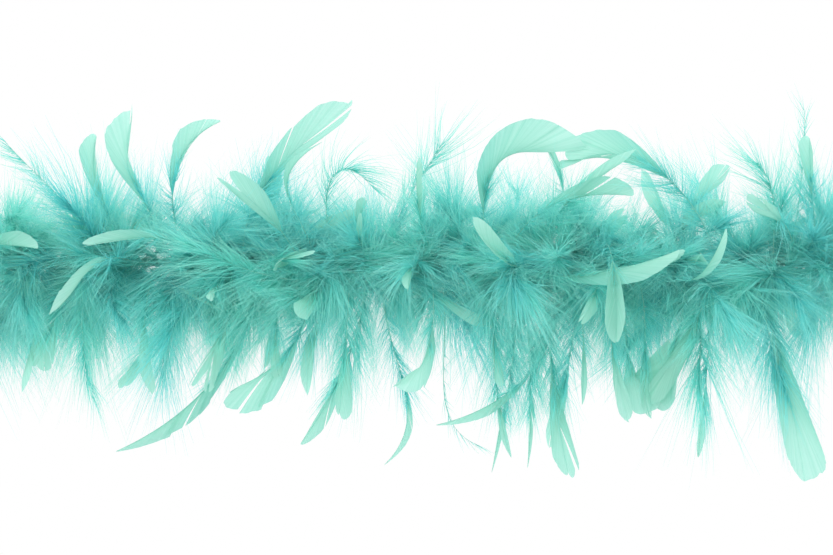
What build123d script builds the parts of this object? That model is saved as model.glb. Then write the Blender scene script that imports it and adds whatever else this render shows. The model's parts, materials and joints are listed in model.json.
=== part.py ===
from build123d import *
import math
import os

# Feather boa, laid out straight. +X runs along the cord, +Z is up, and the origin is on the
# cord's axis at the middle of its length. All sizes are in millimetres.
#
# A real cord bends anywhere. Here it is cut into stiff lengths ("segments") of one pitch each,
# with a pivot half way between the middles of two neighbours. Feathers, plies and thread follow
# one screw pattern along the whole boa, which keeps quills clear of the thread and lets every
# quill pass between the two plies.

# Driving dimensions
SEGMENTS = 17
PITCH = 105.0                # length of one stiff segment
PER_SEGMENT = 14             # feathers on a segment, one to each sector round the cord
ROOT_STEP = 7.0              # distance along the cord from one quill to the next
BEND_LIMIT = 35.0            # degrees that a pivot turns either way
PLY_R = 1.5                  # one ply of the doubled yarn
THREAD_R = 0.25              # binding thread
CURL_R = 300.0               # radius that every feather curls to
VANE_T = 0.5                 # thickness of a vane
QUILL_R = 0.95               # quill where it leaves the cord
RACHIS_TIP_R = 0.35          # rachis at the feather's tip
TIP_SPREAD = 5.0             # how far from mid-segment the outermost tips stand
STRAND_SIDES = 6             # wound strands are six-sided, which keeps their long surfaces light

# Derived dimensions
SECTOR = 360.0 / PER_SEGMENT
PLY_CLEARANCE = 0.03
PLY_ORBIT = PLY_R + PLY_CLEARANCE
CORD_R = PLY_ORBIT + PLY_R
PLY_TWIST_PITCH = ROOT_STEP * 360.0 / (180.0 + SECTOR)
THREAD_CLEARANCE = 0.05
THREAD_ORBIT = CORD_R + THREAD_R + THREAD_CLEARANCE
THREAD_PITCH = ROOT_STEP * 360.0 / (360.0 - SECTOR)
PIVOT_GAP = (THREAD_ORBIT + THREAD_R) * math.tan(math.radians(BEND_LIMIT / 2)) + 0.4
HALF_STIFF = PITCH / 2 - PIVOT_GAP
SOCKET_R = QUILL_R + 0.05    # room left for a quill between the plies
QUILL_START = -2.2           # a quill's foot, just through the cord's axis
HALF_LENGTH = SEGMENTS * PITCH / 2

# End fittings, all of the same yarn and thread
END_GAP = 2.6                # from an end pivot to the yarn that swings on it
WHIP_PITCH = 0.56
WHIP_TURNS = 10
LOOP_NECK = 9.0              # straight part of the loop's two legs
LOOP_LENGTH = 24.0           # from the neck to the middle of the loop's bow
LOOP_HALF_WIDTH = 8.5
KNOT_TURNS = 3
KNOT_PITCH = 2 * PLY_R + 0.1
KNOT_ORBIT = CORD_R + PLY_R + 0.1
KNOT_FOOT = HALF_STIFF + PLY_R + 0.2
CORD_PAST_KNOT = 3.0
TAIL_LENGTH = 34.0
TAIL_SPLAY = 9.0

# Feather kinds: how far a feather reaches, its two half widths, and the corners of its tip.
# Each corner is (distance back from the reach, place along the cord).
FEATHER_KINDS = [
    {"reach": 115.0, "wide": 9.5, "narrow": 7.0, "tip": [(9, 5.0), (1, 2.2), (0, 0.0), (5, -3.5)]},
    {"reach": 112.0, "wide": 8.0, "narrow": 6.5, "tip": [(0, 6.0), (9, -4.5)]},
    {"reach": 115.0, "wide": 6.5, "narrow": 5.0, "tip": [(14, 2.6), (0, 0.0), (12, -2.2)]},
    {"reach": 108.0, "wide": 9.0, "narrow": 7.5, "tip": [(0, 5.5), (13, 0.4), (3, -4.5)]},
    {"reach": 100.0, "wide": 8.5, "narrow": 7.0, "tip": [(4, 5.0), (0, 0.5), (6, -4.0)]},
]
VANE_START = 24.0            # a vane begins this far from the cord's axis
KIND_STRIDE = 3              # order in which the kinds follow each other along the cord


def segment_x(k):
    """Middle of segment k, counted from 0 at the loop's end."""
    return (k - (SEGMENTS - 1) / 2) * PITCH


def segment_plane(k):
    """Plane across the cord at the middle of segment k, with its normal along the boa."""
    return Plane.YZ.offset(segment_x(k))


def root_z(i):
    """Place of quill i along its own segment."""
    return (i - (PER_SEGMENT - 1) / 2) * ROOT_STEP


def azimuth(i):
    """Direction of quill i round the cord, before the segment's own turn."""
    return -90.0 + SECTOR * (i + 0.5)


def turn(k):
    """Turn of segment k that carries the screw pattern on across the pivots."""
    return SECTOR * (k * round(PITCH / ROOT_STEP) % PER_SEGMENT)


def lean(i):
    """Tilt of feather i along the cord, which brings its tip close to mid-segment."""
    outermost = root_z(PER_SEGMENT - 1)
    tip_z = root_z(i) / outermost * TIP_SPREAD
    return math.degrees(math.atan2(root_z(i) - tip_z, FEATHER_KINDS[0]["reach"]))


def feather_place(i):
    """Place of feather i on a segment whose cord runs along local Z."""
    return Location((0, 0, root_z(i)), (0, 0, azimuth(i))) * Location((0, 0, 0), (0, lean(i), 0))


def curl_point(x):
    """Point on the feather's curled mid-surface at distance x from the cord's axis."""
    return (x, CURL_R - math.sqrt(CURL_R**2 - x**2))


def make_feather(kind):
    """One feather, growing along +X and curling towards +Y, with its width along Z."""
    reach = kind["reach"]
    corners = [(reach - back, z) for back, z in kind["tip"]]
    shoulder = 0.62 * reach
    with BuildPart() as feather:
        with BuildSketch(Plane.XZ) as outline:
            with BuildLine():
                Spline((VANE_START, 0), (0.4 * reach, 0.72 * kind["wide"]),
                       (shoulder, kind["wide"]), corners[0])
                Polyline(corners)
                Spline(corners[-1], (shoulder, -kind["narrow"]),
                       (0.4 * reach, -0.72 * kind["narrow"]), (VANE_START, 0))
            make_face()
        extrude(amount=CURL_R / 6, both=True)
        with BuildSketch(Plane.XY) as sheet:
            with Locations((0, CURL_R)):
                Circle(CURL_R + VANE_T / 2)
                Circle(CURL_R - VANE_T / 2, mode=Mode.SUBTRACT)
        extrude(amount=2 * kind["wide"], both=True, mode=Mode.INTERSECT)
        with BuildLine(Plane.XY) as shaft:
            ThreePointArc(curl_point(0), curl_point(reach / 2), curl_point(reach - 4))
        with BuildSketch(Plane(origin=shaft.line @ 0, z_dir=shaft.line % 0)) as foot:
            Circle(QUILL_R)
        with BuildSketch(Plane(origin=shaft.line @ 1, z_dir=shaft.line % 1)) as end:
            Circle(RACHIS_TIP_R)
        sweep(sections=[foot.sketch, end.sketch], path=shaft.line, multisection=True)
        with BuildSketch(Plane(origin=(0, 0, 0), z_dir=(-1, 0, 0))):
            Circle(QUILL_R)
        extrude(amount=-QUILL_START)
    return feather.part


def make_yarn_helix(length):
    """One ply of the cord, wound round local Z and starting at its foot on local +X."""
    with BuildPart() as ply:
        with BuildLine() as path:
            Helix(PLY_TWIST_PITCH, length, PLY_ORBIT)
        with BuildSketch(Plane(origin=path.line @ 0, z_dir=path.line % 0)):
            Circle(PLY_R)
        sweep(path=path.line, is_frenet=True)
    return ply.part


def make_plies(beyond):
    """Both plies of one stiff segment along local Z, running on past its far end by a length."""
    ply = make_yarn_helix(2 * HALF_STIFF + beyond)
    start = azimuth(0) + 90.0 - 360.0 / PLY_TWIST_PITCH * (root_z(0) + HALF_STIFF)
    with BuildPart() as plies:
        for side in (0.0, 180.0):
            with Locations(Location((0, 0, -HALF_STIFF), (0, 0, start + side))):
                add(ply)
        for i in range(PER_SEGMENT):
            with Locations(feather_place(i)):
                Cylinder(SOCKET_R, CORD_R - 2 * QUILL_START, rotation=(0, 90, 0), mode=Mode.SUBTRACT)
    return plies.part


def make_winding(orbit, pitch, length, strand_r):
    """A strand wound left-handed round local Z, starting at its foot on local +X."""
    with BuildPart() as winding:
        with BuildLine() as path:
            Helix(pitch, length, orbit, lefthand=True)
        with BuildSketch(Plane(origin=path.line @ 0, z_dir=path.line % 0)):
            RegularPolygon(strand_r, STRAND_SIDES)
        sweep(path=path.line, is_frenet=True)
    return winding.part


def make_bow():
    """Loop of yarn, running from its neck towards -X in the XZ plane."""
    with BuildPart() as bow:
        with BuildLine(Plane.XZ) as path:
            legs = Spline((-END_GAP - LOOP_NECK, PLY_ORBIT),
                          (-END_GAP - LOOP_NECK - 0.55 * LOOP_LENGTH, LOOP_HALF_WIDTH),
                          (-END_GAP - LOOP_NECK - LOOP_LENGTH, 0),
                          (-END_GAP - LOOP_NECK - 0.55 * LOOP_LENGTH, -LOOP_HALF_WIDTH),
                          (-END_GAP - LOOP_NECK, -PLY_ORBIT),
                          tangents=[(-1, 0), (1, 0)])
            Line((-END_GAP, PLY_ORBIT), legs @ 0)
            Line(legs @ 1, (-END_GAP, -PLY_ORBIT))
        with BuildSketch(Plane((-END_GAP, 0, PLY_ORBIT), z_dir=(-1, 0, 0))):
            Circle(PLY_R)
        sweep(path=path.wire())
    return bow.part


def make_tail():
    """The two cut ends of the yarn, splaying apart in the XZ plane past the tail's pivot."""
    with BuildPart() as tail:
        for side in (1, -1):
            with BuildLine(Plane.XZ) as path:
                Spline((END_GAP, side * PLY_ORBIT), (END_GAP + TAIL_LENGTH, side * TAIL_SPLAY),
                       tangents=[(1, 0), (1, side * 0.1)])
            with BuildSketch(Plane(origin=path.line @ 0, z_dir=path.line % 0)):
                Circle(PLY_R)
            sweep(path=path.line)
    return tail.part


def write_part(part, name):
    """Label a finished sub-part and write it as one STEP file."""
    part.label = name
    export_step(part, f"parts/{name}.step", write_pcurves=False)


def write_segment(k, plies, thread, feathers):
    """The cord, thread and feathers of segment k."""
    on_cord = Location((0, 0, 0), (0, 0, turn(k)))
    with BuildPart(segment_plane(k)) as core_cord:
        with Locations(on_cord):
            add(plies)
    write_part(core_cord.part, f"core_cord_{k + 1:02d}")
    thread_start = azimuth(0) + 180.0 + 360.0 / THREAD_PITCH * (root_z(0) + HALF_STIFF)
    with BuildPart(segment_plane(k)) as binding_thread:
        with Locations(on_cord * Location((0, 0, -HALF_STIFF), (0, 0, thread_start))):
            add(thread)
    write_part(binding_thread.part, f"binding_thread_{k + 1:02d}")
    with BuildPart(segment_plane(k)) as whorl:
        for i in range(PER_SEGMENT):
            kind = (i * KIND_STRIDE + k) % len(feathers)
            with Locations(on_cord * feather_place(i)):
                add(feathers[kind])
    write_part(whorl.part, f"feathers_{k + 1:02d}")


os.makedirs("parts", exist_ok=True)

feathers = [make_feather(kind) for kind in FEATHER_KINDS]
knot_height = KNOT_TURNS * KNOT_PITCH
beyond_last = KNOT_FOOT + knot_height + PLY_R + CORD_PAST_KNOT - HALF_STIFF
plies = make_plies(0.0)
last_plies = make_plies(beyond_last)
thread = make_winding(THREAD_ORBIT, THREAD_PITCH, 2 * HALF_STIFF, THREAD_R)
for k in range(SEGMENTS):
    write_segment(k, last_plies if k == SEGMENTS - 1 else plies, thread, feathers)

loop_pivot_x = -HALF_LENGTH
with BuildPart(Plane((loop_pivot_x, 0, 0))) as end_loop:
    add(make_bow())
write_part(end_loop.part, "end_loop")

whip = make_winding(THREAD_ORBIT, WHIP_PITCH, WHIP_TURNS * WHIP_PITCH, THREAD_R)
whip_x = loop_pivot_x - END_GAP - LOOP_NECK + 1.5
with BuildPart(Plane.YZ.offset(whip_x)) as loop_whipping:
    add(whip)
write_part(loop_whipping.part, "loop_whipping")

knot = make_winding(KNOT_ORBIT, KNOT_PITCH, knot_height, PLY_R)
with BuildPart(Plane.YZ.offset(segment_x(SEGMENTS - 1) + KNOT_FOOT)) as end_knot:
    add(knot)
write_part(end_knot.part, "end_knot")

tail_pivot_x = segment_x(SEGMENTS - 1) + HALF_STIFF + beyond_last + PIVOT_GAP
with BuildPart(Plane((tail_pivot_x, 0, 0))) as cord_tail:
    add(make_tail())
write_part(cord_tail.part, "cord_tail")
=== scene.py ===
import json
import math

import bpy
import numpy as np
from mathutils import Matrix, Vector

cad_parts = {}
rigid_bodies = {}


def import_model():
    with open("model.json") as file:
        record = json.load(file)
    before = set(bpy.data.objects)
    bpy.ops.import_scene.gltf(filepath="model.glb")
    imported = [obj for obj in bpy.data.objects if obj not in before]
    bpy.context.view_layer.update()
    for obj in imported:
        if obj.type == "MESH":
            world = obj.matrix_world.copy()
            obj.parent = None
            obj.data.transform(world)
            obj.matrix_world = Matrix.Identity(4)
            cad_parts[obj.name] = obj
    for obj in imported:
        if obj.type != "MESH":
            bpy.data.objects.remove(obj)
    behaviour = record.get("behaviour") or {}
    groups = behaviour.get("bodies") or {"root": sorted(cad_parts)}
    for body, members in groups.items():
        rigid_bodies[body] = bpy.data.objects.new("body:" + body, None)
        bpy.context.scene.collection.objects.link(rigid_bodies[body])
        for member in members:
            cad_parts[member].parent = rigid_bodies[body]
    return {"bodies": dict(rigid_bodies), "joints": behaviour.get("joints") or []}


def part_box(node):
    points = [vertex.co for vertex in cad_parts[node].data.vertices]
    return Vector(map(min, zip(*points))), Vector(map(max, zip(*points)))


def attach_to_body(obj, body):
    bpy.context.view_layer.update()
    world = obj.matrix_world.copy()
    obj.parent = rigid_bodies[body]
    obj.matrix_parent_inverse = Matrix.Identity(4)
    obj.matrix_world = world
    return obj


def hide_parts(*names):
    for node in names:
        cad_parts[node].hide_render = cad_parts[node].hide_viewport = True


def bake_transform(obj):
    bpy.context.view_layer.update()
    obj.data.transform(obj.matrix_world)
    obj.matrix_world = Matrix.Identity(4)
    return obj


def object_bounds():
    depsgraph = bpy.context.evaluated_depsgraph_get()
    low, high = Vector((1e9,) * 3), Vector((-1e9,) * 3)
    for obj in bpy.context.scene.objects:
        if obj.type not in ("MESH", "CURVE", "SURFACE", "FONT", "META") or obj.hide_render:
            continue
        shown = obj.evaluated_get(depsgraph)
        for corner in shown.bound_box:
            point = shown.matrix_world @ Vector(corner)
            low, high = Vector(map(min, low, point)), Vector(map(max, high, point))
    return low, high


# The feather boa, straight along X with its cord on the X axis. Lengths are in metres.

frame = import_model()
cad_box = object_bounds()
rng = np.random.default_rng(20)
MM = 0.001

# ------------------------------------------------------------------ places from the frame

joint = {j["name"]: j for j in frame["joints"]}
segments = sorted(b for b in frame["bodies"] if b.startswith("segment_"))
pivots = [joint[f"bend_{n:02d}"]["pos_m"][0] for n in range(1, len(segments))]
pitch = pivots[1] - pivots[0]
middles = [pivots[0] - pitch / 2 + n * pitch for n in range(len(segments))]
boa_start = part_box("feathers_01")[0].x
boa_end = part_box(f"feathers_{len(segments):02d}")[1].x
cord_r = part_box("core_cord_01")[1].z
cord_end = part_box(f"core_cord_{len(segments):02d}")[1].x
X_AXIS = np.array([1.0, 0.0, 0.0])
DOWNWARD = np.array([0.0, 0.0, -1.0])

# ------------------------------------------------------------------ sizes that set the look

FEATHERS_PER_PITCH = 24      # random feathers rooted along one segment
FLUFF_PER_PITCH = 48         # short downy feathers close to the cord, on one segment
CENTRE_STEPS = 24            # points along a feather's rachis
BARB_POINTS = 4              # points along a down barb
BARBS_PER_LOCK = 13          # neighbouring barbs that sweep the same way
BARB_LEAN = (50, 12)         # degrees between a barb and the rachis, at the feather's foot and at its tip
BARB_WAVER = 0.07            # sideways sway of a barb, as a share of its length
VANE_COLUMNS = 6             # points across one half of a vane
VANE_ROWS = 34               # points along a whole vane
BARB_HALF_WIDTH = 0.19 * MM
RACHIS_R = 0.5 * MM
MIDDLE_REACH = 260 * MM      # half of the stretch whose notable feathers are placed one by one
LONGEST_FEATHER = 91 * MM    # random feathers stay inside the room the frame gives


def unit(v):
    return v / np.maximum(np.linalg.norm(v, axis=-1, keepdims=True), 1e-12)


def lerp(a, b, t):
    return a + (b - a) * t


# ------------------------------------------------------------------ mesh collecting


class Sheaf:
    """Quads of one piece, with a colour attribute that the materials read: red is the place along a
    barb, green the place along the feather, blue a random number and alpha the place across a strip."""

    def __init__(self):
        self.points, self.quads, self.fibre, self.kinds = [], [], [], []
        self.count = 0

    def add(self, points, quads, fibre, kind):
        self.points.append(points.reshape(-1, 3))
        self.quads.append(quads.reshape(-1, 4) + self.count)
        self.fibre.append(fibre.reshape(-1, 4))
        self.kinds.append(np.full(len(quads.reshape(-1, 4)), kind, np.int32))
        self.count += points.reshape(-1, 3).shape[0]

    def make(self, name, materials):
        points, quads = np.concatenate(self.points), np.concatenate(self.quads)
        fibre, kinds = np.concatenate(self.fibre), np.concatenate(self.kinds)
        mesh = bpy.data.meshes.new(name)
        mesh.vertices.add(len(points))
        mesh.vertices.foreach_set("co", points.astype(np.float32).ravel())
        mesh.loops.add(quads.size)
        mesh.loops.foreach_set("vertex_index", quads.astype(np.int32).ravel())
        mesh.polygons.add(len(quads))
        mesh.polygons.foreach_set("loop_start", np.arange(0, quads.size, 4, dtype=np.int32))
        mesh.polygons.foreach_set("material_index", kinds)
        mesh.polygons.foreach_set("use_smooth", np.ones(len(quads), bool))
        mesh.update(calc_edges=True)
        colour = mesh.color_attributes.new("fibre", "FLOAT_COLOR", "POINT")
        colour.data.foreach_set("color", fibre.astype(np.float32).ravel())
        map_layer = mesh.uv_layers.new(name="OFBake")
        map_layer.data.foreach_set("uv", fibre_map(fibre[quads], kinds).astype(np.float32).ravel())
        for material in materials:
            mesh.materials.append(material)
        piece = bpy.data.objects.new(name, mesh)
        bpy.context.scene.collection.objects.link(piece)
        return piece


def fibre_map(corner_fibre, kinds):
    """Places on the texture map. A colour depends on the fibre values alone, so strands of one tone
    share one row of the map, and each kind of surface has a band of its own. Cord pieces use the
    first two bands, for their yarn and their thread."""
    along_it = np.where(kinds[:, None] == DOWN, corner_fibre[..., 0], corner_fibre[..., 1])
    row = 0.02 + 0.27 * corner_fibre[..., 2] + 0.012 * corner_fibre[..., 3]
    return np.stack([0.01 + 0.98 * along_it, kinds[:, None] / 3 + row], axis=-1)


DOWN, BLADE, SHAFT = 0, 1, 2
YARN, THREAD = 0, 1


def strip_quads(strips, length):
    """Quads of several ribbons, each of `length` pairs of points."""
    k = np.arange(strips)[:, None] * (2 * length) + 2 * np.arange(length - 1)[None]
    return np.stack([k, k + 1, k + 3, k + 2], axis=-1)


def grid_quads(rows, columns):
    r, c = np.meshgrid(np.arange(rows - 1), np.arange(columns - 1), indexing="ij")
    k = r * columns + c
    return np.stack([k, k + 1, k + columns + 1, k + columns], axis=-1)


# ------------------------------------------------------------------ one feather


def bezier(root, out_handle, in_handle, tip, t):
    t = t[:, None]
    return ((1 - t) ** 3 * root + 3 * (1 - t) ** 2 * t * out_handle
            + 3 * (1 - t) * t**2 * in_handle + t**3 * tip)


def centre_line(root, out_handle, in_handle, tip, normal, twist):
    """Points, tangents, side vectors and normals along a feather."""
    t = np.linspace(0, 1, CENTRE_STEPS)
    points = bezier(root, out_handle, in_handle, tip, t)
    tangents = unit(np.gradient(points, axis=0))
    across = np.empty_like(points)
    n = normal
    for i, d in enumerate(tangents):
        n = n - d * (n @ d)
        n = n / max(np.linalg.norm(n), 1e-9)
        across[i] = np.cross(n, d)
    straight = np.cross(tangents, across)
    turned = twist * t[:, None] ** 1.5
    side = across * np.cos(turned) + straight * np.sin(turned)
    return points, tangents, side, np.cross(tangents, side)


def along(values, s):
    """Values on the centre line at places s from 0 to 1."""
    f = np.clip(s, 0, 1) * (CENTRE_STEPS - 1)
    i = np.minimum(f.astype(int), CENTRE_STEPS - 2)
    return values[i] + (values[i + 1] - values[i]) * (f - i)[..., None]


def add_shaft(sheaf, line, radius, tone, upto=1.0):
    """The quill and rachis: a three-sided tube that tapers to nothing."""
    points, _, side, normal = line
    s = np.linspace(0, upto, CENTRE_STEPS)
    p, a, b = along(points, s), along(side, s), along(normal, s)
    r = radius * (1 - 0.86 * s**0.8)
    angles = np.array([0.5, 2.594, 4.689])
    ring = (p[:, None] + r[:, None, None] * (a[:, None] * np.cos(angles)[None, :, None]
                                             + b[:, None] * np.sin(angles)[None, :, None]))
    rows, count = CENTRE_STEPS, len(angles)
    k = np.arange(rows - 1)[:, None] * count + np.arange(count)[None]
    k2 = np.arange(rows - 1)[:, None] * count + (np.arange(count)[None] + 1) % count
    quads = np.stack([k, k2, k2 + count, k + count], axis=-1)
    fibre = np.empty((rows, count, 4))
    fibre[..., 0], fibre[..., 1], fibre[..., 2] = 0.5, s[:, None], tone
    fibre[..., 3] = np.arange(count)[None] / count
    sheaf.add(ring, quads, fibre, SHAFT)


def add_down(sheaf, line, count, start, stop, length, tone, spread=1.0, droop=0.15, crown=0.45,
             steps=BARB_POINTS):
    """Down barbs: tapering ribbons on both sides of the rachis. Neighbours share a lock, so they
    sweep the same way, forward to the feather's tip, and every barb keeps a waver of its own.
    crown is the length of the barbs at the far end, as a share of the longest."""
    points, tangents, side, normal = line
    locks = max(4, count // BARBS_PER_LOCK)
    lock = rng.integers(0, locks, count)
    s = np.clip((lock + 0.5 + rng.normal(0, 0.9, count)) / locks, 0, 1)
    rel = s
    s = lerp(start, stop, s)
    hand = np.where(rng.random(locks) < 0.5, -1.0, 1.0)[lock][:, None]
    lean = lerp(*BARB_LEAN, rel) + rng.normal(0, 9, locks)[lock] + rng.normal(0, 5, count)
    lean = np.radians(lean)[:, None]
    lift = (rng.normal(0, 0.45 * spread, locks)[lock] + rng.normal(0, 0.12, count))[:, None]
    base, t = along(points, s), along(tangents, s)
    a, b = along(side, s), along(normal, s)
    out = unit(hand * a * np.sin(lean) + t * np.cos(lean) + b * lift)
    reach = length * np.minimum(1.0, 0.6 + 1.6 * rel) * np.minimum(1.0, crown + 1.2 * (1 - rel))
    reach = (reach * rng.uniform(0.8, 1.12, locks)[lock] * rng.uniform(0.55, 1.1, count))[:, None]
    bend = t * rng.uniform(0.3, 0.95, locks)[lock][:, None] + rng.normal(0, 0.26, (locks, 3))[lock]
    bend = bend + rng.normal(0, 0.09, (count, 3)) + DOWNWARD * droop
    wave_side = unit(np.cross(out, rng.normal(0, 1, (count, 3))))
    phase = rng.uniform(0, 6.28, count)[:, None]
    waves = rng.uniform(1.5, 5.0, count)[:, None]
    u = np.linspace(0, 1, steps)
    path = np.empty((count, steps, 3))
    for k, v in enumerate(u):
        sway = np.sin(phase + waves * v) - np.sin(phase)
        path[:, k] = base + reach * (out * v + bend * v * v * 0.6 + wave_side * sway * BARB_WAVER)
    run = unit(np.gradient(path, axis=1))
    flat = unit(np.cross(run, unit(rng.normal(0, 1, (count, 1, 3)))))
    taper = np.array([1.0 - 0.85 * v**1.2 for v in u])[None, :, None]
    width = BARB_HALF_WIDTH * taper * rng.uniform(0.6, 1.3, count)[:, None, None]
    ribbon = np.stack([path - flat * width, path + flat * width], axis=2)
    fibre = np.empty((count, steps, 2, 4))
    fibre[..., 0] = u[None, :, None]
    fibre[..., 1] = s[:, None, None]
    fibre[..., 2] = np.clip(tone + rng.normal(0, 0.12, count), 0, 1)[:, None, None]
    fibre[..., 3] = np.array([0.0, 1.0])
    sheaf.add(ribbon, strip_quads(count, steps), fibre, DOWN)


def vane_width(v, tip):
    """Share of a vane's full barb length at place v from its foot to its tip."""
    if tip == "blunt":
        return np.clip(v / 0.12, 0, 1) ** 0.7 * (0.5 + 0.5 * np.clip(v / 0.7, 0, 1))
    if tip == "point":
        return np.clip(v / 0.4, 0, 1) ** 0.7 * np.clip(1 - v**2.4, 0, 1) ** 0.9 + 0.02
    return np.clip(v / 0.22, 0, 1) ** 0.7 * np.clip(1 - v**4.5, 0, 1) ** 0.6 + 0.03


def add_vane(sheaf, line, start, width, tone, tip="round", splits=4, cup=0.25, ragged=0.10, sides=(1, -1),
             lean_deg=38.0):
    """Both halves of a satin vane. Each half is a few webs of barbs, and webs part at the splits."""
    points, tangents, side, normal = line
    columns = VANE_COLUMNS
    for hand in sides:
        marks = np.sort(np.r_[0.0, rng.uniform(0.12, 0.95, splits), 1.0])
        share = 1.0 if hand > 0 else rng.uniform(0.55, 1.0)
        for low, high in zip(marks[:-1], marks[1:]):
            if high - low < 0.015:
                continue
            rows = max(3, int(round((high - low) * VANE_ROWS)))
            v = np.linspace(low, high, rows)
            s = start + (1 - start) * v
            p, t = along(points, s), along(tangents, s)
            a, b = along(side, s), along(normal, s)
            narrowing = lerp(share, 1.0, v**6) if tip == "blunt" else share
            uneven = 1 + rng.normal(0, ragged * 0.35) + rng.normal(0, ragged * 0.1, rows)
            edge = vane_width(v, tip) * width * narrowing * uneven
            closing = v**6 if tip == "blunt" else 0.6 * v**2
            lean = (math.radians(lean_deg) + rng.normal(0, 0.03)) * (1 - closing)
            lift = rng.normal(0, 0.05)
            u = np.linspace(0, 1, columns)[None, :, None]
            reach = edge[:, None, None]
            sheet = (p[:, None] + reach * (hand * a[:, None] * np.sin(lean)[:, None, None] * u
                                           + t[:, None] * (np.cos(lean)[:, None, None] * u + 0.18 * u**2)
                                           + b[:, None] * (lift * u - cup * u**2)))
            fibre = np.empty((rows, columns, 4))
            fibre[..., 0] = fibre[..., 3] = u[..., 0]
            fibre[..., 1] = s[:, None]
            fibre[..., 2] = tone
            sheaf.add(sheet, grid_quads(rows, columns), fibre, BLADE)


def feather(sheaf, root, out_handle, in_handle, tip, normal, twist=0.3, blade=0.45, width=16 * MM, down=230,
            down_length=30 * MM, tone=None, kind="round", splits=3, cup=0.25, shaft=1.0, down_from=0.06,
            spread=1.0, droop=0.2, lean=38.0, sides=(1, -1), steps=BARB_POINTS):
    """One whole feather, from quill to tip. blade is the vane's share of the length, 0 for a downy one."""
    tone = rng.uniform(0.2, 0.8) if tone is None else tone
    line = centre_line(root, out_handle, in_handle, tip, normal, twist)
    add_shaft(sheaf, line, RACHIS_R * shaft, tone)
    stop = 1.0
    if blade > 0:
        add_vane(sheaf, line, 1 - blade, width, tone, kind, splits, cup, lean_deg=lean, sides=sides)
        stop = 1 - blade * 0.68
    if down:
        crown = 0.45 if blade else 0.8
        add_down(sheaf, line, down, down_from, stop, down_length, tone, spread, droop, crown, steps)


# ------------------------------------------------------------------ plumage


def radial(azimuth):
    return np.array([0.0, math.cos(azimuth), math.sin(azimuth)])


def spring_from(x, out, length, start_dir, end_dir):
    """Root, two handles and tip of a feather that leaves the cord one way and ends another."""
    root = np.array([x, 0, 0]) + out * cord_r * 0.5
    out_handle = root + start_dir * length * 0.38
    in_handle = out_handle + unit(start_dir + end_dir) * length * 0.27
    return root, out_handle, in_handle, in_handle + end_dir * length * 0.36


def fullness(x, height):
    """How far feathers reach at x, as a share of the usual: a boa is thicker here and thinner there.
    height is 1 for feathers that stand straight up and -1 for those that hang straight down."""
    x = x / MM
    hanging = 0.96 + 0.22 * math.cos((x - 75) / 16.7) + 0.08 * math.sin(x / 59)
    standing = 0.94 + 0.2 * math.cos((x - 42) / 25.5) + 0.08 * math.sin(x / 46)
    return lerp(hanging, standing, 0.5 + 0.5 * height)


def random_feather(sheaf, x):
    """A long feather at a random place round the cord, sagging under its own weight."""
    azimuth = rng.uniform(0, 2 * math.pi)
    out = radial(azimuth)
    rise = max(out[2], 0.0)
    middle = abs(x) < MIDDLE_REACH
    bladed = rng.random() < (0.36 if middle else 0.52)
    facing = abs(out[1])         # those that face the viewer or the back fall every way over the cord
    length = rng.uniform(50, 114) * MM * (1.0 if bladed else 0.7) * fullness(x, out[2])
    length = length * (1 - (0.38 if middle or not bladed else 0.15) * rise)
    length = length * (1 - (0.2 if middle else 0.0) * max(-out[2], 0.0))
    length = min(length, LONGEST_FEATHER * (1.0 if bladed else 0.72))
    start_dir = unit(out + X_AXIS * rng.normal(0, 0.6))
    sag = rng.uniform(0.15, 0.9) * (1 - 0.5 * max(-out[2], 0)) + facing * rng.normal(-0.3, 0.7)
    sideways = (unit(np.cross(out, X_AXIS)) * rng.normal(0, 0.25)
                + X_AXIS * rng.normal(0, 0.4 + 0.35 * rise + 0.6 * facing))
    end_dir = unit(start_dir + DOWNWARD * sag + sideways)
    places = spring_from(x, out, length, start_dir, end_dir)
    kind = rng.choice(["round", "point", "blunt"], p=[0.2, 0.35, 0.45])
    feather(sheaf, *places, unit(np.cross(end_dir, rng.normal(0, 1, 3))), twist=rng.normal(0, 0.6),
            blade=rng.uniform(0.36, 0.58) if bladed else 0.0, width=rng.uniform(9, 19) * MM,
            down=int(rng.uniform(330, 440) * (0.6 if bladed else 1.0)), down_length=rng.uniform(30, 48) * MM,
            kind=kind, shaft=0.6,
            splits=int(rng.integers(0, 4)), cup=rng.uniform(-0.1, 0.5), lean=rng.uniform(17, 26))


def fluff(sheaf, x):
    """A short downy feather that fills the space close to the cord."""
    out = radial(rng.uniform(0, 2 * math.pi))
    length = rng.uniform(14, 42) * MM
    start_dir = unit(out + X_AXIS * rng.normal(0, 1.3) + rng.normal(0, 0.2, 3))
    end_dir = unit(start_dir * 0.7 + rng.normal(0, 0.75, 3) + DOWNWARD * 0.1)
    feather(sheaf, *spring_from(x, out, length, start_dir, end_dir), unit(rng.normal(0, 1, 3)),
            twist=rng.normal(0, 0.8), blade=0.0, down=int(rng.uniform(240, 330)),
            down_length=rng.uniform(22, 38) * MM, spread=1.5, shaft=0.5, steps=3)


def interval_of(x):
    """Which piece of plumage a root belongs to: 0 before the first middle, then one per pivot."""
    return int(np.clip(math.floor((x - middles[0]) / pitch) + 1, 0, len(segments)))


sheaves = [Sheaf() for _ in range(len(segments) + 1)]

HERO_DOWN = 1.5              # more down than asked for round the stalks of the bladed ones
TIP_OVERHANG = {"blunt": 0.9, "round": 0.4, "point": 0.12}   # how far barbs pass the rachis, in widths


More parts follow.
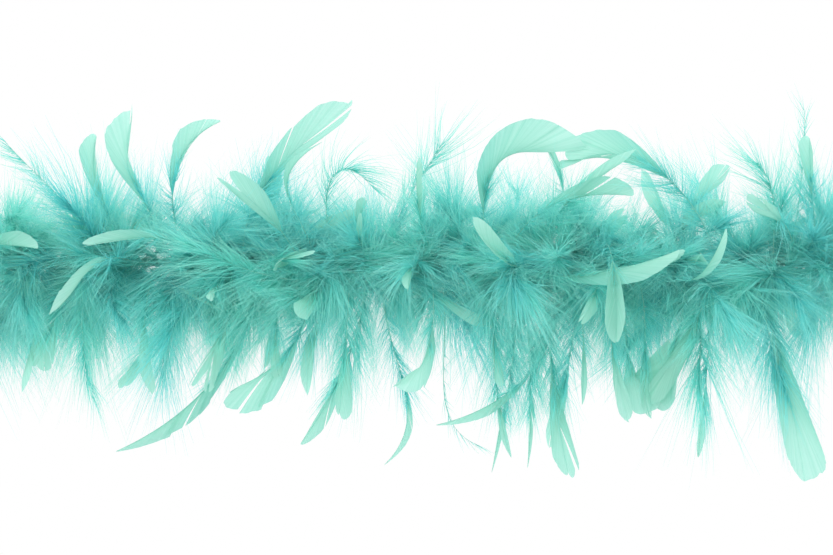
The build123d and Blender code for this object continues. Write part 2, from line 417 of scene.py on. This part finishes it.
def hero(points, normal=(0, -1, 0), **looks):
    """A feather with a place of its own. points are its root, two handles and tip, in millimetres."""
    root, out_handle, in_handle, tip = (np.array(p, float) * MM for p in points)
    looks["down"] = int(looks["down"] * HERO_DOWN) if looks.get("blade") else looks["down"]
    if looks.get("blade"):
        overhang = TIP_OVERHANG[looks["kind"]] * looks["width"]
        tip = tip - unit(tip - in_handle) * overhang
    feather(sheaves[interval_of(root[0])], root, out_handle, in_handle, tip,
            unit(np.array(normal, float)), **looks)


def spread_along(per_pitch, plant):
    """Calls plant(sheaf, x) at even but jittered places along the whole feathered length."""
    count = int(per_pitch * (boa_end - boa_start) / pitch)
    for n in range(count):
        x = lerp(boa_start, boa_end, (n + rng.random()) / count)
        plant(sheaves[interval_of(x)], x)


spread_along(FEATHERS_PER_PITCH, random_feather)
spread_along(FLUFF_PER_PITCH, fluff)

# Standing feathers of the middle stretch, from left to right
hero([(-196, 0, 5), (-200, -20, 35), (-222, -34, 48), (-240, -38, 70)], blade=0.0, down=130,
     down_length=19 * MM, down_from=0.2, shaft=0.9, twist=0.2, tone=0.9)
hero([(-176, 0, 5), (-182, -14, 30), (-196, -24, 46), (-188, -26, 76)], blade=0.66, width=20 * MM,
     kind="point", splits=2, lean=17, down=120, down_length=20 * MM)
hero([(-150, 0, 5), (-156, -16, 34), (-172, -30, 48), (-166, -34, 84)], blade=0.62, width=25 * MM,
     kind="blunt", splits=1, lean=17, cup=0.1, down=120)
hero([(-140, 0, 5), (-146, -24, 30), (-150, -42, 66), (-112, -46, 82)], blade=0.6, width=18 * MM,
     kind="point", splits=2, lean=19, down=160)
hero([(-104, 0, 5), (-104, -20, 34), (-78, -34, 60), (-44, -36, 86)], blade=0.62, width=31 * MM,
     kind="blunt", splits=2, lean=20, cup=0.1, down=200, down_length=34 * MM)
hero([(-62, 0, 5), (-66, -40, 30), (-94, -46, 46), (-54, -44, 70)], blade=0.55, width=9 * MM,
     kind="point", splits=0, lean=14, down=60, down_length=12 * MM)
hero([(-50, 0, 5), (-60, -14, 40), (-50, -24, 72), (-26, -28, 44)], blade=0.0, down=180,
     down_length=30 * MM, tone=0.85)
hero([(-20, 0, 5), (-8, -14, 36), (4, -20, 52), (14, -22, 68)], blade=0.0, down=160,
     down_length=28 * MM, down_from=0.1, shaft=0.9, tone=0.85)
hero([(42, 0, 5), (36, -24, 38), (40, -36, 66), (92, -38, 62)], normal=(0.2, -1, 0), blade=0.74,
     width=28 * MM, kind="blunt", splits=1, lean=22, cup=0.15, down=180, down_length=26 * MM)
hero([(84, 0, 5), (92, -18, 34), (86, -34, 58), (70, -36, 74)], blade=0.55, width=12 * MM, kind="point",
     splits=3, lean=16, down=60)
hero([(56, 0, 5), (62, -40, 32), (92, -44, 42), (128, -40, 38)], blade=0.6, width=22 * MM, kind="point",
     splits=2, lean=19, down=80)
hero([(180, 0, 0), (166, -34, 46), (124, -40, 72), (88, -36, 56)], blade=0.55, width=26 * MM,
     kind="round", splits=2, lean=22, down=260, down_length=34 * MM)
hero([(214, 0, 5), (214, -10, 34), (212, -18, 48), (202, -20, 58)], blade=0.0, down=220,
     down_length=30 * MM, tone=0.85)
hero([(226, 0, 5), (226, -14, 36), (231, -22, 60), (229, -22, 90)], blade=0.0, down=120,
     down_length=20 * MM, down_from=0.15, shaft=0.9, tone=0.85)
hero([(240, 0, 5), (236, -16, 30), (231, -30, 48), (230, -34, 74)], blade=0.5, width=16 * MM,
     kind="point", splits=1, lean=19, down=120)

# Feathers that lie over the middle stretch, in front of its down, from left to right
hero([(-170, 0, 0), (-176, -44, 6), (-186, -64, 0), (-203, -68, -28)], blade=0.6, width=18 * MM,
     kind="blunt", splits=1, lean=19, down=60)
hero([(-130, 0, 5), (-138, -42, 16), (-160, -64, 16), (-192, -68, 8)], blade=0.6, width=14 * MM,
     kind="round", splits=2, lean=16, down=60)
hero([(-60, 0, -10), (-80, -48, -14), (-108, -62, -2), (-130, -64, 10)], blade=0.0, down=420,
     down_length=34 * MM, tone=0.9)
hero([(-70, 0, 0), (-74, -42, 14), (-84, -62, 26), (-108, -62, 46)], blade=0.6, width=25 * MM,
     kind="round", splits=1, lean=20, down=60)
hero([(70, 0, -5), (84, -46, -12), (112, -66, -10), (153, -68, 8)], normal=(0, -1, 0.3), blade=0.72,
     width=36 * MM, kind="point", splits=1, lean=22, down=60, twist=0.1)
hero([(112, 0, 10), (112, -50, 14), (114, -70, 0), (114, -70, -48)], blade=0.5, width=24 * MM,
     kind="point", splits=0, lean=17, down=30)
hero([(150, 0, -5), (158, -48, -18), (166, -66, -10), (177, -68, 20)], blade=0.6, width=14 * MM,
     kind="point", splits=1, lean=16, down=40)
hero([(226, 0, 10), (216, -40, 26), (206, -60, 24), (196, -62, 38)], blade=0.6, width=17 * MM,
     kind="round", splits=2, lean=19, down=60)

# Hanging feathers of the middle stretch, from left to right
hero([(42, 0, -5), (48, -20, -50), (44, -30, -84), (56, -30, -116)], blade=0.4, width=10 * MM,
     kind="point", splits=0, lean=15, down=160, down_length=28 * MM)
hero([(96, 0, -5), (96, -20, -50), (84, -30, -80), (78, -32, -104)], blade=0.5, width=18 * MM,
     kind="blunt", splits=1, lean=17, down=220, down_length=32 * MM)
hero([(124, 0, -5), (122, -20, -46), (126, -30, -70), (118, -32, -86)], blade=0.5, width=24 * MM,
     kind="blunt", splits=1, lean=20, down=160, down_length=26 * MM)
hero([(160, 0, -5), (160, -30, -30), (150, -40, -50), (140, -40, -80)], blade=0.55, width=24 * MM,
     kind="point", splits=3, lean=18, down=120, down_length=22 * MM)
hero([(-104, 0, -5), (-108, -30, -34), (-118, -44, -52), (-128, -46, -70)], blade=0.55, width=24 * MM,
     kind="blunt", splits=2, lean=20, down=160, down_length=26 * MM)
hero([(-80, 0, -5), (-82, -30, -34), (-84, -44, -50), (-80, -46, -66)], blade=0.5, width=14 * MM,
     kind="point", splits=1, lean=18, down=120, down_length=24 * MM)
hero([(-206, 0, -5), (-210, -14, -24), (-216, -24, -40), (-224, -28, -62)], blade=0.45, width=16 * MM,
     kind="point", splits=3, down=200)
hero([(-196, 0, -5), (-200, -24, -28), (-196, -36, -52), (-190, -38, -78)], blade=0.0, down=240,
     down_length=24 * MM)
hero([(-158, 0, -5), (-160, -30, -26), (-160, -42, -46), (-155, -46, -72)], blade=0.5, width=17 * MM,
     kind="blunt", splits=0, lean=17, down=120)
hero([(-92, 0, -5), (-96, -24, -42), (-116, -34, -84), (-178, -34, -112)], blade=0.66, width=21 * MM,
     kind="point", splits=4, lean=14, cup=0.3, down=180)
hero([(-62, 0, -5), (-62, -34, -40), (-72, -44, -60), (-112, -44, -76)], blade=0.55, width=26 * MM,
     kind="round", splits=2, lean=19, down=200)
hero([(-30, 0, -5), (-32, -20, -44), (-44, -32, -74), (-69, -34, -108)], blade=0.5, width=18 * MM,
     kind="point", splits=1, lean=16, down=260, down_length=34 * MM)
hero([(-40, 0, -5), (-40, -34, -36), (-42, -44, -62), (-45, -48, -90)], blade=0.5, width=22 * MM,
     kind="point", splits=0, lean=19, down=200)
hero([(-20, 0, -5), (-24, -14, -54), (14, -18, -88), (-20, -22, -121)], blade=0.55, width=12 * MM,
     kind="point", splits=2, lean=14, down=200, down_length=24 * MM, sides=(1,))
hero([(8, 0, -5), (14, -34, -34), (6, -46, -60), (-12, -48, -66)], blade=0.6, width=16 * MM,
     kind="blunt", splits=1, lean=17, down=120, down_length=24 * MM)
hero([(98, 0, -5), (98, -30, -40), (98, -44, -60), (96, -46, -84)], blade=0.55, width=10 * MM,
     kind="point", splits=0, lean=13, down=60, down_length=16 * MM)
hero([(132, 0, -5), (140, -30, -40), (128, -42, -66), (136, -44, -92)], blade=0.55, width=16 * MM,
     kind="point", splits=3, lean=16, down=160)
hero([(14, 0, -5), (24, -14, -50), (2, -24, -94), (36, -26, -108)], blade=0.0, down=60,
     down_length=9 * MM, down_from=0.3, shaft=1.0)
hero([(84, 0, -5), (90, -24, -50), (62, -34, -84), (10, -34, -96)], blade=0.5, width=14 * MM,
     kind="point", splits=1, lean=13, down=160)
hero([(60, 0, -5), (62, -14, -50), (52, -24, -84), (44, -28, -125)], blade=0.45, width=10 * MM,
     kind="point", splits=2, lean=12, down=240, down_length=30 * MM)
hero([(64, 0, -5), (66, -18, -48), (70, -26, -80), (65, -30, -122)], blade=0.42, width=10 * MM,
     kind="point", splits=2, lean=12, down=240, down_length=30 * MM)
hero([(80, 0, -5), (76, -28, -50), (80, -38, -84), (89, -40, -126)], blade=0.52, width=29 * MM,
     kind="point", splits=1, lean=17, down=240, down_length=34 * MM)
hero([(112, 0, -5), (112, -30, -34), (116, -40, -62), (122, -40, -88)], blade=0.5, width=18 * MM,
     kind="blunt", splits=2, lean=14, down=160)
hero([(178, 0, -5), (170, -34, -26), (156, -42, -50), (134, -42, -78)], blade=0.62, width=22 * MM,
     kind="blunt", splits=0, lean=17, down=120)
hero([(172, 0, -5), (168, -28, -34), (166, -40, -52), (164, -44, -74)], blade=0.0, down=560,
     down_length=36 * MM, spread=1.3, tone=0.7)
hero([(176, 0, -5), (174, -20, -44), (170, -30, -80), (165, -30, -116)], blade=0.4, width=13 * MM,
     kind="point", splits=2, lean=14, down=200, down_length=30 * MM)
hero([(206, 0, -5), (210, -24, -44), (219, -34, -80), (222, -36, -116)], normal=(0.1, -1, 0.1),
     blade=0.7, width=38 * MM, kind="blunt", splits=0, lean=20, cup=0.12, down=200, down_length=34 * MM)
hero([(204, 0, -5), (206, -22, -36), (210, -34, -56), (216, -34, -78)], blade=0.0, down=420,
     down_length=34 * MM, tone=0.35)

# ------------------------------------------------------------------ materials


class Nodes:
    """Short way to add and join shader nodes."""

    def __init__(self, name):
        self.material = bpy.data.materials.new(name)
        self.material.use_nodes = True
        self.tree = self.material.node_tree
        self.tree.nodes.clear()

    def add(self, kind, **settings):
        node = self.tree.nodes.new("ShaderNode" + kind)
        for key, value in settings.items():
            if key.startswith("in_"):
                name = key[3:]
                slot = node.inputs[int(name)] if name.isdigit() else node.inputs[name.replace("_", " ")]
                slot.default_value = value
            else:
                setattr(node, key, value)
        return node

    def join(self, a, b):
        self.tree.links.new(a, b)


def srgb(r, g, b):
    def linear(c):
        c = c / 255
        return c / 12.92 if c <= 0.04045 else ((c + 0.055) / 1.055) ** 2.4
    return (linear(r), linear(g), linear(b), 1.0)


def ramp(nodes, factor, stops):
    node = nodes.add("ValToRGB")
    elements = node.color_ramp.elements
    while len(elements) > 1:
        elements.remove(elements[0])
    elements[0].position, elements[0].color = stops[0]
    for position, colour in stops[1:]:
        elements.new(position).color = colour
    nodes.join(factor, node.inputs["Fac"])
    return node.outputs["Color"]


def fibre_parts(nodes):
    attribute = nodes.add("Attribute", attribute_name="fibre")
    split = nodes.add("SeparateColor")
    nodes.join(attribute.outputs["Color"], split.inputs["Color"])
    return split.outputs["Red"], split.outputs["Green"], split.outputs["Blue"]


def multiply(nodes, a, b):
    mixed = nodes.add("Mix", data_type="RGBA", blend_type="MULTIPLY", in_0=1.0)
    nodes.join(a, mixed.inputs[6])
    nodes.join(b, mixed.inputs[7])
    return mixed.outputs[2]


def barb_streaks(nodes, s, tone, per_feather):
    """Streaks that follow the barbs, since a barb keeps one value of s."""
    scaled = nodes.add("Math", operation="MULTIPLY_ADD", in_1=per_feather)
    offset = nodes.add("Math", operation="MULTIPLY", in_1=97.0)
    nodes.join(tone, offset.inputs[0])
    nodes.join(s, scaled.inputs[0])
    nodes.join(offset.outputs[0], scaled.inputs[2])
    noise = nodes.add("TexNoise", noise_dimensions="1D", in_Scale=1.0, in_Detail=3.0)
    nodes.join(scaled.outputs[0], noise.inputs["W"])
    return noise.outputs["Fac"]


def leaf_shader(nodes, colour, through, share, roughness, sheen=0.2, normal=None):
    """A thin sheet: part of the light scatters back and part passes through."""
    skin = nodes.add("BsdfPrincipled", in_Roughness=roughness, in_Sheen_Weight=sheen)
    skin.inputs["Specular IOR Level"].default_value = 0.35
    nodes.join(colour, skin.inputs["Base Color"])
    glow = nodes.add("BsdfTranslucent")
    nodes.join(through, glow.inputs["Color"])
    if normal is not None:
        nodes.join(normal, skin.inputs["Normal"])
        nodes.join(normal, glow.inputs["Normal"])
    mix = nodes.add("MixShader", in_0=share)
    nodes.join(skin.outputs[0], mix.inputs[1])
    nodes.join(glow.outputs[0], mix.inputs[2])
    out = nodes.add("OutputMaterial")
    nodes.join(mix.outputs[0], out.inputs["Surface"])
    return nodes.material


def down_material():
    nodes = Nodes("down")
    t, _, tone = fibre_parts(nodes)
    # Root-to-tip ramp: the tips are painted lighter, a painted backlit glow on the thin fringes.
    colour = ramp(nodes, t, [(0.0, srgb(120, 220, 216)), (0.5, srgb(150, 236, 230)),
                             (1.0, srgb(184, 246, 236))])
    shift = ramp(nodes, tone, [(0.0, srgb(205, 244, 255)), (0.5, srgb(244, 252, 252)),
                               (1.0, srgb(255, 255, 248))])
    tinted = multiply(nodes, colour, shift)
    return leaf_shader(nodes, tinted, tinted, 0.55, 0.75, 0.1)


def blade_material():
    nodes = Nodes("satin_blade")
    t, s, tone = fibre_parts(nodes)
    # Foot-to-tip ramp: darker at the vane's foot, painted shade deep in the plumage, and lighter towards the
    # tip, a painted backlit glow.
    colour = ramp(nodes, s, [(0.4, srgb(150, 217, 207)), (0.7, srgb(178, 230, 218)),
                             (1.0, srgb(199, 240, 231))])
    # Across the vane, whiter towards its outer edge: a painted backlit glow on the thin barb ends.
    edge = ramp(nodes, t, [(0.0, srgb(228, 244, 240)), (0.5, srgb(250, 254, 252)),
                           (1.0, srgb(255, 255, 255))])
    fine = barb_streaks(nodes, s, tone, 170.0)
    broad = barb_streaks(nodes, s, tone, 38.0)
    fine_shade = ramp(nodes, fine, [(0.3, srgb(240, 250, 247)), (0.55, srgb(252, 255, 253)),
                                    (0.8, srgb(255, 255, 255))])
    broad_shade = ramp(nodes, broad, [(0.35, srgb(236, 249, 246)), (0.65, srgb(255, 255, 255))])
    streaked = multiply(nodes, multiply(nodes, colour, edge), multiply(nodes, fine_shade, broad_shade))
    bump = nodes.add("Bump", in_Strength=0.3, in_Distance=0.0006)
    nodes.join(broad, bump.inputs["Height"])
    return leaf_shader(nodes, streaked, streaked, 0.5, 0.4, 0.15, bump.outputs["Normal"])


def shaft_material():
    nodes = Nodes("rachis")
    _, s, _ = fibre_parts(nodes)
    colour = ramp(nodes, s, [(0.0, srgb(170, 232, 220)), (0.6, srgb(140, 222, 205)),
                             (1.0, srgb(130, 215, 195))])
    return leaf_shader(nodes, colour, colour, 0.2, 0.35, 0.0)


plumage_materials = [down_material(), blade_material(), shaft_material()]


def yarn_material(name, light, dark):
    """Spun fibres: fine dark lines that run along the strands, and a soft sheen."""
    nodes = Nodes(name)
    round_it, along_it, _ = fibre_parts(nodes)
    place = nodes.add("CombineXYZ")
    nodes.join(round_it, place.inputs["X"])
    nodes.join(along_it, place.inputs["Y"])
    spun = nodes.add("Mapping")
    spun.inputs["Scale"].default_value = (22.0, 60.0, 1.0)
    nodes.join(place.outputs[0], spun.inputs["Vector"])
    noise = nodes.add("TexNoise", in_Scale=1.0, in_Detail=4.0)
    nodes.join(spun.outputs[0], noise.inputs["Vector"])
    colour = ramp(nodes, noise.outputs["Fac"], [(0.3, dark), (0.7, light)])
    bump = nodes.add("Bump", in_Strength=0.5, in_Distance=0.0002)
    nodes.join(noise.outputs["Fac"], bump.inputs["Height"])
    return leaf_shader(nodes, colour, colour, 0.1, 0.85, 0.4, bump.outputs["Normal"])


cord_materials = [yarn_material("yarn", srgb(150, 222, 212), srgb(84, 168, 158)),
                  yarn_material("thread", srgb(170, 232, 222), srgb(110, 190, 180))]

# ------------------------------------------------------------------ cord, loop, knot and tail

PLY_R = 1.5 * MM             # one ply of the doubled yarn
PLY_ORBIT = cord_r - PLY_R
PLY_PITCH = 12.25 * MM       # right-handed twist of the two plies
THREAD_R = 0.25 * MM
THREAD_ORBIT = cord_r + THREAD_R
THREAD_PITCH = 7.54 * MM     # left-handed, the other way from the plies
STRANDS = 5                  # strands spun into one ply, which show as ridges
STRAND_TWIST = 6.5 * MM
FUZZ_PER_MM = 5              # loose fibres that stand off the yarn
YARN_REPEAT = 0.12           # metres of strand over which the yarn's pattern runs once
FRAYS_PER_TAIL = 46          # loose hairs at each cut end


def frames_along(path):
    """Tangents and two cross directions that don't spin along a path."""
    tangents = unit(np.gradient(path, axis=0))
    a = np.cross(tangents[0], (0.31, 0.52, 0.79))
    firsts = np.empty_like(path)
    for i, t in enumerate(tangents):
        a = a - t * (a @ t)
        a = a / np.linalg.norm(a)
        firsts[i] = a
    return tangents, firsts, np.cross(tangents, firsts)


def add_strand(sheaf, path, radius, kind, sides=12, ridges=0.0):
    """A round strand along a path. ridges is how deep its spun strands are cut, as a share of its radius."""
    _, a, b = frames_along(path)
    length = np.r_[0, np.cumsum(np.linalg.norm(np.diff(path, axis=0), axis=1))]
    angle = np.linspace(0, 2 * math.pi, sides, endpoint=False)
    spin = length[:, None] / STRAND_TWIST * 2 * math.pi
    r = np.broadcast_to(np.asarray(radius, float), len(path))[:, None]
    r = r * (1 - ridges * (0.5 + 0.5 * np.cos(STRANDS * (angle[None] - spin / STRANDS))))
    ring = path[:, None] + r[..., None] * (a[:, None] * np.cos(angle)[None, :, None]
                                           + b[:, None] * np.sin(angle)[None, :, None])
    rows = len(path)
    k = np.arange(rows - 1)[:, None] * sides + np.arange(sides)[None]
    k2 = np.arange(rows - 1)[:, None] * sides + (np.arange(sides)[None] + 1) % sides
    fibre = np.empty((rows, sides, 4))
    fibre[..., 0] = np.abs(angle / math.pi - 1)[None]
    fibre[..., 1] = (length / YARN_REPEAT)[:, None] % 1.0
    fibre[..., 2] = rng.uniform(0.1, 0.9)
    fibre[..., 3] = fibre[..., 0]
    sheaf.add(ring, np.stack([k, k2, k2 + sides, k + sides], axis=-1), fibre, kind)
    for end, ring_points in ((0, ring[0]), (rows - 1, ring[-1])):
        add_cap(sheaf, path[end], ring_points, kind)


def add_cap(sheaf, centre, ring_points, kind):
    """Closes the end of a strand with a fan of quads round its centre."""
    sides = len(ring_points)
    points = np.vstack([ring_points, centre[None]])
    k = np.arange(0, sides, 2)
    quads = np.stack([k, (k + 1) % sides, (k + 2) % sides, np.full(len(k), sides)], axis=-1)
    sheaf.add(points, quads, np.full((sides + 1, 4), 0.5), kind)


def add_fuzz(sheaf, path, radius, per_mm=FUZZ_PER_MM):
    """Short loose fibres that stand off a strand."""
    length = np.linalg.norm(np.diff(path, axis=0), axis=1).sum()
    count = max(4, int(length / MM * per_mm))
    i = rng.integers(0, len(path) - 1, count)
    tangents = unit(np.gradient(path, axis=0))[i]
    out = unit(np.cross(tangents, rng.normal(0, 1, (count, 3))))
    base = lerp(path[i], path[i + 1], rng.random((count, 1))) + out * radius * 0.8
    reach = rng.uniform(0.6, 2.2, count)[:, None] * MM
    u = np.linspace(0, 1, BARB_POINTS)
    lean = tangents * rng.normal(0, 0.9, count)[:, None]
    strand = np.stack([base + reach * (out * v + lean * v * v) for v in u], axis=1)
    flat = unit(np.cross(np.gradient(strand, axis=1), rng.normal(0, 1, (count, 1, 3))))
    width = 0.05 * MM * (1.05 - u)[None, :, None]
    ribbon = np.stack([strand - flat * width, strand + flat * width], axis=2)
    fibre = np.full((count, BARB_POINTS, 2, 4), 0.6)
    fibre[..., 0] = u[None, :, None]
    sheaf.add(ribbon, strip_quads(count, BARB_POINTS), fibre, YARN)


def helix(start_x, end_x, orbit, turn_pitch, phase, hand, steps_per_turn=14):
    """Points of a helix round the X axis. Its phase belongs to x = 0, so that pieces meet."""
    count = max(3, int(abs(end_x - start_x) / turn_pitch * steps_per_turn))
    x = np.linspace(start_x, end_x, count)
    angle = hand * 2 * math.pi * x / turn_pitch + phase
    return np.stack([x, orbit * np.cos(angle), orbit * np.sin(angle)], axis=-1)


def add_cord(sheaf, start_x, end_x, thread_end_x=None):
    """The two plies and, round them, the thread that locks the quills."""
    for phase in (0.0, math.pi):
        ply = helix(start_x, end_x, PLY_ORBIT, PLY_PITCH, phase, 1)
        add_strand(sheaf, ply, PLY_R, YARN, ridges=0.16)
        add_fuzz(sheaf, ply, PLY_R)
    thread = helix(start_x, thread_end_x or end_x, THREAD_ORBIT, THREAD_PITCH, 0.4, -1, 16)
    add_strand(sheaf, thread, THREAD_R, THREAD, sides=6)


def smooth_path(points, count):
    """A Catmull-Rom curve through a few points."""
    p = np.array(points, float)
    p = np.vstack([2 * p[0] - p[1], p, 2 * p[-1] - p[-2]])
    t = np.linspace(0, len(points) - 1 - 1e-9, count)
    i = t.astype(int)
    f = (t - i)[:, None]
    a, b, c, d = p[i], p[i + 1], p[i + 2], p[i + 3]
    return 0.5 * (2 * b + (c - a) * f + (2 * a - 5 * b + 4 * c - d) * f**2 + (3 * b - a - 3 * c + d) * f**3)


END_OVERLAP = 2.0 * MM       # how far an end piece reaches into the cord beyond its pivot


def loop_sheaf():
    """The hanging loop: yarn that leaves the cord's end, bows round and comes back, and its whipping."""
    sheaf = Sheaf()
    low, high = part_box("end_loop")
    half_width = (high.z - low.z) / 2 - PLY_R
    far = low.x + PLY_R
    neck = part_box("loop_whipping")[0].x - 2 * MM
    inner = joint["loop_swing"]["pos_m"][0] + END_OVERLAP
    reach = neck - far
    corners = [(inner, 0, PLY_ORBIT), (lerp(inner, neck, 0.5), 0, PLY_ORBIT), (neck, 0, PLY_ORBIT * 1.1),
               (neck - 0.3 * reach, 0, 0.72 * half_width), (neck - 0.65 * reach, 0, half_width),
               (neck - 0.92 * reach, 0, 0.6 * half_width), (far, 0, 0)]
    back = [(x, y, -z) for x, y, z in reversed(corners[:-1])]
    bow = smooth_path(corners + back, 170)
    add_strand(sheaf, bow, PLY_R, YARN, ridges=0.16)
    add_fuzz(sheaf, bow, PLY_R)
    whip_low, whip_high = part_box("loop_whipping")
    whip = helix(whip_low.x + THREAD_R, whip_high.x - THREAD_R, THREAD_ORBIT, 2.1 * THREAD_R, 0.0, -1)
    add_strand(sheaf, whip, THREAD_R, THREAD, sides=6)
    return sheaf


def knot_sheaf():
    """The stopper knot: three turns of yarn, the last of them crossing over to lock."""
    sheaf = Sheaf()
    low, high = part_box("end_knot")
    orbit = high.z - PLY_R
    turns = helix(low.x + PLY_R, high.x - PLY_R, orbit, (high.x - low.x - 2 * PLY_R) / 3, 0.0, -1, 36)
    add_strand(sheaf, turns, PLY_R, YARN, ridges=0.16)
    across = helix(high.x - PLY_R, low.x + PLY_R, orbit + 0.45 * PLY_R, (high.x - low.x) * 1.6, 0.9, 1, 48)
    add_strand(sheaf, across, PLY_R * 0.9, YARN, ridges=0.16)
    add_fuzz(sheaf, turns, PLY_R * 1.1)
    return sheaf


def tail_sheaf():
    """The two cut ends past the knot, which come unspun into loose fibres."""
    sheaf = Sheaf()
    low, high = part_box("cord_tail")
    inner = joint["tail_swing"]["pos_m"][0] - END_OVERLAP
    splay = high.z - PLY_R
    for side in (1, -1):
        corners = [(inner, 0, side * PLY_ORBIT), (low.x + 4 * MM, 0, side * PLY_ORBIT * 1.1),
                   (lerp(low.x, high.x, 0.45), side * 1.5 * MM, side * 0.42 * splay),
                   (lerp(low.x, high.x, 0.8), 0, side * 0.9 * splay), (high.x, 0, side * splay)]
        path = smooth_path(corners, 70)
        radius = PLY_R * (1 - 0.25 * np.linspace(0, 1, 70) ** 4)
        add_strand(sheaf, path, radius, YARN, ridges=0.2)
        add_fuzz(sheaf, path, PLY_R, FUZZ_PER_MM * 1.5)
        direction = unit(path[-1] - path[-4])
        for _ in range(FRAYS_PER_TAIL):
            out = unit(direction + rng.normal(0, 0.28, 3))
            start = path[-3] + rng.normal(0, 0.35, 3) * PLY_R
            end = start + out * rng.uniform(4, 11) * MM
            hair = smooth_path([start, lerp(start, end, 0.5) + rng.normal(0, 0.5, 3) * MM, end], 8)
            add_strand(sheaf, hair, 0.11 * MM * np.linspace(1, 0.4, 8), YARN, sides=4)
    return sheaf


# ------------------------------------------------------------------ pieces


def attach(piece, n):
    """Ties piece n of a row to the segments: the end ones ride, and the others, which span pivot n, only get
    their transform baked in.
    """
    if n == 0:
        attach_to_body(piece, segments[0])
    elif n == len(segments):
        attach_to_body(piece, segments[-1])
    else:
        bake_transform(piece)


for n, sheaf in enumerate(sheaves):
    piece = sheaf.make(f"plumage_{n:02d}", plumage_materials)
    attach(piece, n)
    if n < len(segments):
        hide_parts(f"feathers_{n + 1:02d}")

cord_ends = [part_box("core_cord_01")[0].x] + middles + [cord_end]
for n, (start_x, end_x) in enumerate(zip(cord_ends[:-1], cord_ends[1:])):
    sheaf = Sheaf()
    last = n == len(segments)
    add_cord(sheaf, start_x, end_x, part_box("end_knot")[0].x if last else None)
    piece = sheaf.make(f"cord_{n:02d}", cord_materials)
    attach(piece, n)
    if not last:
        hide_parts(f"core_cord_{n + 1:02d}", f"binding_thread_{n + 1:02d}")

loop = loop_sheaf().make("hanging_loop", cord_materials)
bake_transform(loop)
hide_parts("end_loop", "loop_whipping")

knot = knot_sheaf().make("stopper_knot", cord_materials)
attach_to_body(knot, segments[-1])
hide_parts("end_knot")

tail = tail_sheaf().make("yarn_tail", cord_materials)
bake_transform(tail)
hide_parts("cord_tail")

# ------------------------------------------------------------------ stage, light and camera


def white_material(name, strength):
    nodes = Nodes(name)
    glow = nodes.add("Emission", in_Strength=strength)
    out = nodes.add("OutputMaterial")
    nodes.join(glow.outputs[0], out.inputs["Surface"])
    return nodes.material


SKY_LIGHT = 1.3              # strength of the white room for all but the camera, which sees plain white
floor_z = cad_box[0][2] - 25 * MM
mesh = bpy.data.meshes.new("floor")
mesh.from_pydata([(-6, -6, floor_z), (6, -6, floor_z), (6, 6, floor_z), (-6, 6, floor_z)], [], [(0, 1, 2, 3)])
mesh.materials.append(white_material("white_floor", 1.0))
floor = bpy.data.objects.new("floor", mesh)
bpy.context.scene.collection.objects.link(floor)

world = bpy.data.worlds.new("studio")
bpy.context.scene.world = world
world.use_nodes = True
sky = world.node_tree.nodes["Background"]
sky.inputs["Color"].default_value = (1, 1, 1, 1)
seen = world.node_tree.nodes.new("ShaderNodeLightPath")
strength = world.node_tree.nodes.new("ShaderNodeMapRange")
strength.inputs["To Min"].default_value = SKY_LIGHT
strength.inputs["To Max"].default_value = 1.0
world.node_tree.links.new(seen.outputs["Is Camera Ray"], strength.inputs["Value"])
world.node_tree.links.new(strength.outputs["Result"], sky.inputs["Strength"])

key_data = bpy.data.lights.new("key", "AREA")
key_data.energy = 12
key_data.size = 1.5
key = bpy.data.objects.new("key", key_data)
key.location = (-0.6, -1.6, 1.4)
key.rotation_euler = (Vector((0, 0, 0)) - Vector(key.location)).to_track_quat("-Z", "Y").to_euler()
bpy.context.scene.collection.objects.link(key)

VIEW_WIDTH = 0.5
camera_data = bpy.data.cameras.new("camera")
camera_data.lens = 100
camera_data.sensor_width = 36
distance = VIEW_WIDTH * camera_data.lens / camera_data.sensor_width
camera = bpy.data.objects.new("camera", camera_data)
camera.location = (0, -distance, -0.0093)
camera.rotation_euler = (math.pi / 2, 0, 0)
bpy.context.scene.collection.objects.link(camera)
bpy.context.scene.camera = camera
bpy.context.scene.view_settings.view_transform = "Standard"
